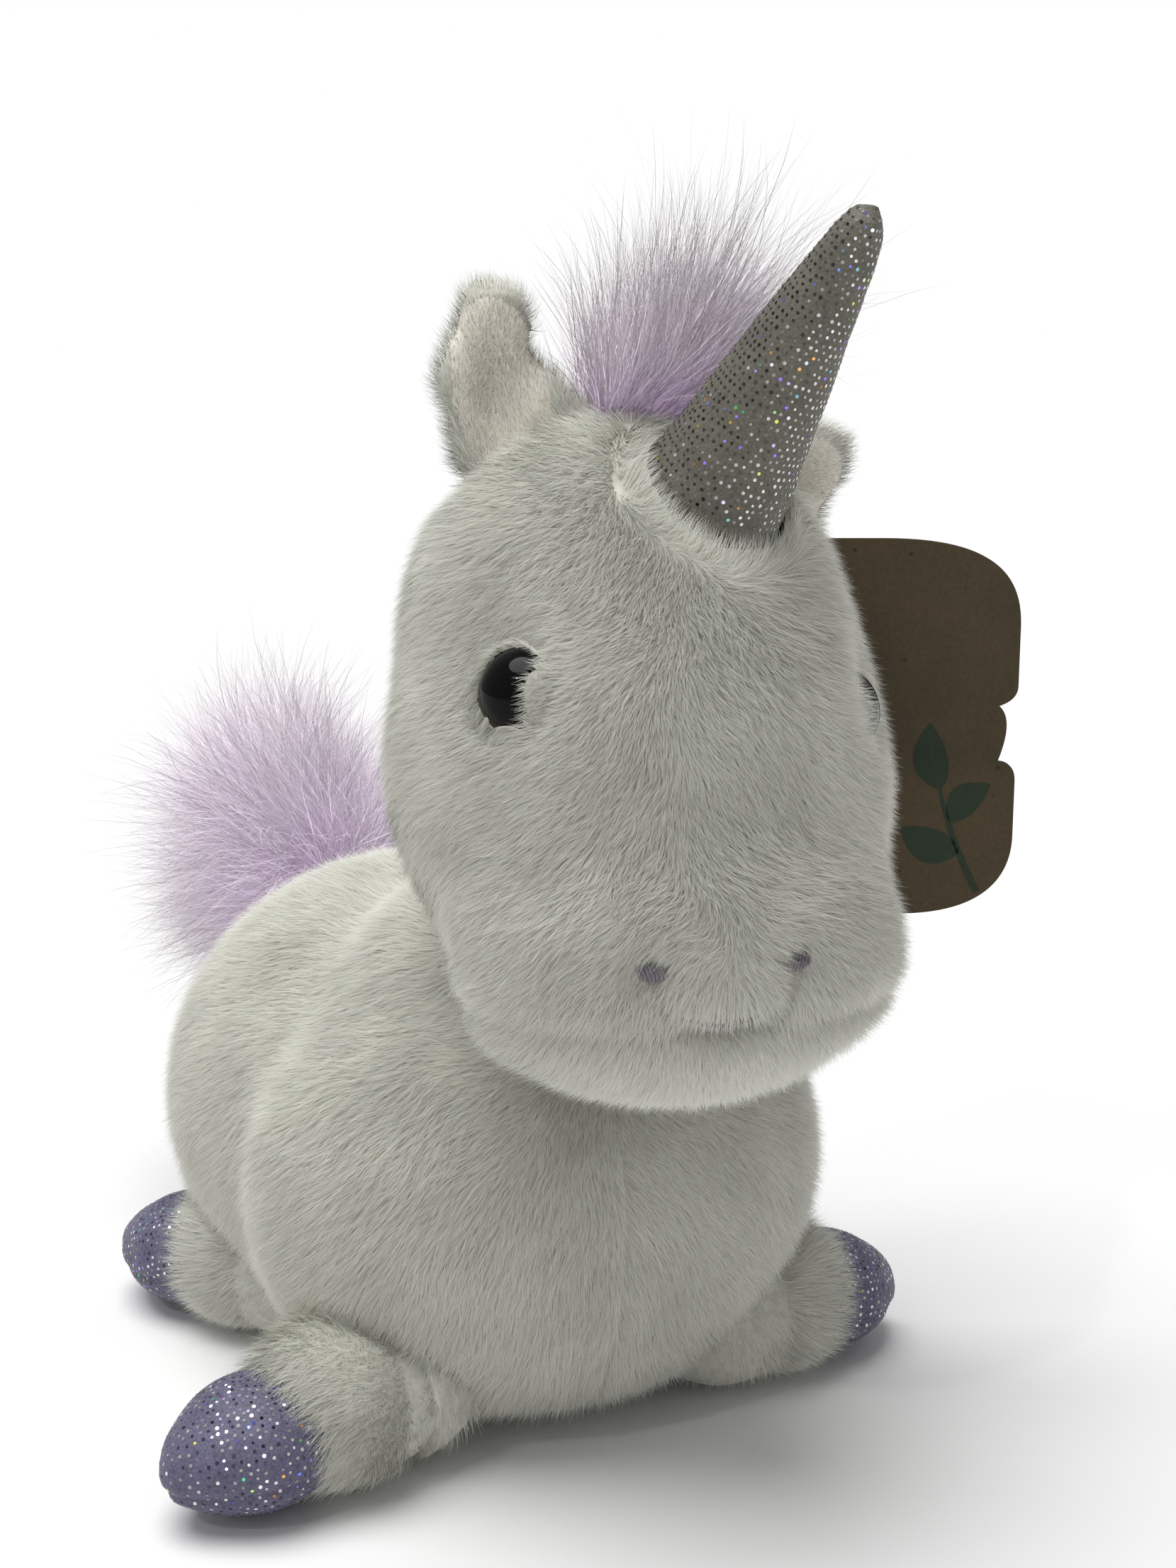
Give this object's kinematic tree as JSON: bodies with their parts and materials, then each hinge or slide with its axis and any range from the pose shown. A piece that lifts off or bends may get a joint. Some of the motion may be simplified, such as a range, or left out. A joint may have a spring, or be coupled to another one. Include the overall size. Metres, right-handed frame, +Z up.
{
  "type": "plush unicorn",
  "caption": "Seated plush unicorn with a soft horn, floppy ears, long-pile mane and tail, four short legs with foil-dot hooves and a folded hang tag.",
  "frame": {"origin": "middle of the flat belly face the toy sits on", "axes": "+X towards the animal's left, -Y towards its front, +Z up"},
  "size_m": [0.145, 0.1979, 0.1811],
  "materials": {
    "white_plush": "short woven pile, off-white",
    "short_plush": "very short pile, off-white",
    "lilac_pile": "long loose pile, lilac with grey tips",
    "lilac_backing": "knitted backing, lilac",
    "horn_knit": "silver-taupe knit with rows of foil dots",
    "hoof_knit": "grey-violet knit with holographic foil dots",
    "stuffing": "polyester fibre",
    "eye": "glossy black dome",
    "washer": "moulded",
    "thread": "embroidery thread, grey-violet",
    "kraft_card": "uncoated kraft card",
    "clear_plastic": "clear nylon"
  },
  "bodies": {
    "torso": {"belly_panel": "white_plush", "body_side_left": "white_plush", "body_side_right": "white_plush", "body_stuffing": "stuffing"},
    "neck": {"neck_band": "white_plush", "neck_stuffing": "stuffing"},
    "head": {"chin_panel": "white_plush", "forehead_gusset": "white_plush", "head_side_left": "white_plush", "head_side_right": "white_plush", "head_stuffing": "stuffing", "eye_left": "eye", "eye_right": "eye", "eye_washer_left": "washer", "eye_washer_right": "washer", "nostril_left": "thread", "nostril_right": "thread", "mouth_stitch": "thread", "mane_backing": "lilac_backing", "mane_pile": "lilac_pile", "tag_fastener": "clear_plastic"},
    "horn": {"horn_cover": "horn_knit", "horn_stuffing": "stuffing"},
    "ear_left": {"ear_left_back": "white_plush", "ear_left_lining": "short_plush"},
    "ear_right": {"ear_right_back": "white_plush", "ear_right_lining": "short_plush"},
    "tail": {"tail_core": "lilac_backing", "tail_pile": "lilac_pile"},
    "tag_front_leaf": {"tag_front": "kraft_card"},
    "tag_back_leaf": {"tag_back": "kraft_card"},
    "leg_front_left": {"leg_front_left_upper": "white_plush", "leg_front_left_lower": "white_plush", "leg_front_left_stuffing": "stuffing", "hoof_front_left_top": "hoof_knit", "hoof_front_left_sole": "hoof_knit"},
    "leg_front_right": {"leg_front_right_upper": "white_plush", "leg_front_right_lower": "white_plush", "leg_front_right_stuffing": "stuffing", "hoof_front_right_top": "hoof_knit", "hoof_front_right_sole": "hoof_knit"},
    "leg_rear_left": {"leg_rear_left_upper": "white_plush", "leg_rear_left_lower": "white_plush", "leg_rear_left_stuffing": "stuffing", "hoof_rear_left_top": "hoof_knit", "hoof_rear_left_sole": "hoof_knit"},
    "leg_rear_right": {"leg_rear_right_upper": "white_plush", "leg_rear_right_lower": "white_plush", "leg_rear_right_stuffing": "stuffing", "hoof_rear_right_top": "hoof_knit", "hoof_rear_right_sole": "hoof_knit"}
  },
  "joints": [
    {"name": "neck_turn", "type": "hinge", "parent": "torso", "child": "neck", "pos_m": [0.006, -0.044, 0.105], "axis": [0, -0.5501, 0.8351], "range_deg": [-12, 12], "stiffness_Nm_per_rad": 0.5},
    {"name": "head_nod", "type": "hinge", "parent": "neck", "child": "head", "pos_m": [0.006, -0.044, 0.105], "axis": [1, 0, 0], "range_deg": [-6, 6], "stiffness_Nm_per_rad": 0.5},
    {"name": "horn_bend", "type": "hinge", "parent": "head", "child": "horn", "pos_m": [0.01057, -0.05457, 0.1415], "axis": [0.9816, -0.1908, 0], "range_deg": [-10, 10], "stiffness_Nm_per_rad": 0.08},
    {"name": "ear_left_flop", "type": "hinge", "parent": "head", "child": "ear_left", "pos_m": [0.02539, -0.0386, 0.141], "axis": [0.4149, -0.0806, -0.9063], "range_deg": [-20, 20], "stiffness_Nm_per_rad": 0.02},
    {"name": "ear_right_flop", "type": "hinge", "parent": "head", "child": "ear_right", "pos_m": [-0.00701, -0.03128, 0.1453], "axis": [0.9695, -0.1885, 0.1564], "range_deg": [-20, 20], "stiffness_Nm_per_rad": 0.02},
    {"name": "leg_front_left_lift", "type": "hinge", "parent": "torso", "child": "leg_front_left", "pos_m": [0.027, -0.031, 0.012], "axis": [0.1607, -0.987, 0], "range_deg": [0, 20], "stiffness_Nm_per_rad": 0.08},
    {"name": "leg_front_right_lift", "type": "hinge", "parent": "torso", "child": "leg_front_right", "pos_m": [-0.027, -0.031, 0.012], "axis": [-0.1881, 0.9822, 0], "range_deg": [0, 20], "stiffness_Nm_per_rad": 0.08},
    {"name": "leg_rear_left_lift", "type": "hinge", "parent": "torso", "child": "leg_rear_left", "pos_m": [0.026, 0.014, 0.012], "axis": [0.8222, -0.5692, 0], "range_deg": [0, 20], "stiffness_Nm_per_rad": 0.08},
    {"name": "leg_rear_right_lift", "type": "hinge", "parent": "torso", "child": "leg_rear_right", "pos_m": [-0.026, 0.014, 0.012], "axis": [0.8222, 0.5692, 0], "range_deg": [0, 20], "stiffness_Nm_per_rad": 0.08},
    {"name": "tail_wag", "type": "hinge", "parent": "torso", "child": "tail", "pos_m": [0, 0.06, 0.056], "axis": [0, 0, 1], "range_deg": [-20, 20], "stiffness_Nm_per_rad": 0.06},
    {"name": "tag_swing", "type": "hinge", "parent": "head", "child": "tag_front_leaf", "pos_m": [0.0483, -0.01765, 0.1285], "axis": [0.8988, -0.4384, 0], "range_deg": [-8, 20]},
    {"name": "tag_open", "type": "hinge", "parent": "tag_front_leaf", "child": "tag_back_leaf", "pos_m": [0.0483, -0.01765, 0.1323], "axis": [0.8988, -0.4384, 0], "range_deg": [0, 25]}
  ]
}
